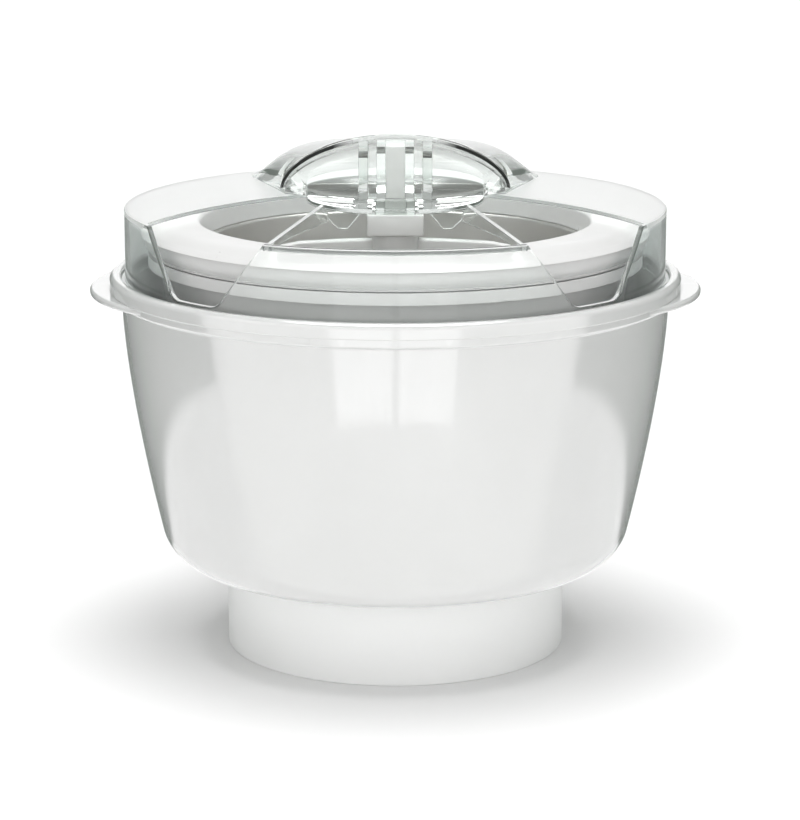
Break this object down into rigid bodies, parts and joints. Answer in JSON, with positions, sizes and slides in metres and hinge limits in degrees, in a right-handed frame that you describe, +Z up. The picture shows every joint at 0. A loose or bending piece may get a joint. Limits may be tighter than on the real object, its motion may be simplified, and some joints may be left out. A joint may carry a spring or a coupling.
{
  "type": "ice cream maker",
  "caption": "White bowl on a round neck holding a turning freezer bowl, with a fixed dasher and a clear lid that has a hooded handle.",
  "frame": {"origin": "bottom centre of the neck, on the surface the bowl stands on", "axes": "+Z up the axis the bowl turns about, -Y towards the front opening of the lid, +X to the right seen from the front"},
  "size_m": [0.259, 0.242, 0.222],
  "materials": {
    "white_gloss": "gloss",
    "white_satin": "semi-gloss",
    "dasher_plastic": "satin",
    "clear_plastic": "clear, polished",
    "liner_metal": "satin",
    "steel": "turned",
    "bronze_bush": "sintered",
    "drive_plastic": "matte",
    "grey_plastic": "matte",
    "dark_rubber": "matte",
    "grey_rubber": "matte",
    "coolant": "gel"
  },
  "bodies": {
    "bowl_body": {"outer_bowl": "white_gloss", "upper_bush": "bronze_bush", "lower_bush": "bronze_bush"},
    "drive": {"drive_shaft": "steel", "drive_coupling": "drive_plastic", "coupling_pin": "steel", "retaining_clip": "steel", "clip_washer": "steel", "thrust_washer": "drive_plastic", "splash_seal": "dark_rubber", "turntable": "grey_plastic", "turntable_screw": "steel"},
    "freezer_bowl": {"freezer_shell": "white_satin", "freezer_liner": "liner_metal", "freezer_rim_ring": "white_satin", "rim_gasket": "grey_rubber", "coolant_gel": "coolant", "fill_plug": "grey_rubber"},
    "dasher_body": {"dasher": "dasher_plastic"},
    "lid": {"lid_cover": "clear_plastic", "stem_socket": "clear_plastic", "lid_handle": "clear_plastic"}
  },
  "joints": [
    {"name": "bowl_spin", "type": "hinge", "parent": "bowl_body", "child": "drive", "pos_m": [0, 0, 0], "axis": [0, 0, 1], "continuous": true},
    {"name": "lid_lift", "type": "slide", "parent": "bowl_body", "child": "lid", "axis": [0, 0, 1], "range_m": [0, 0.36]},
    {"name": "dasher_lift", "type": "slide", "parent": "bowl_body", "child": "dasher_body", "axis": [0, 0, 1], "range_m": [0, 0.2232]},
    {"name": "freezer_lift", "type": "slide", "parent": "drive", "child": "freezer_bowl", "axis": [0, 0, 1], "range_m": [0, 0.1116]}
  ],
  "couplings": [
    {"joint": "dasher_lift", "follows": "lid_lift", "ratio": 0.62},
    {"joint": "freezer_lift", "follows": "lid_lift", "ratio": 0.31}
  ]
}
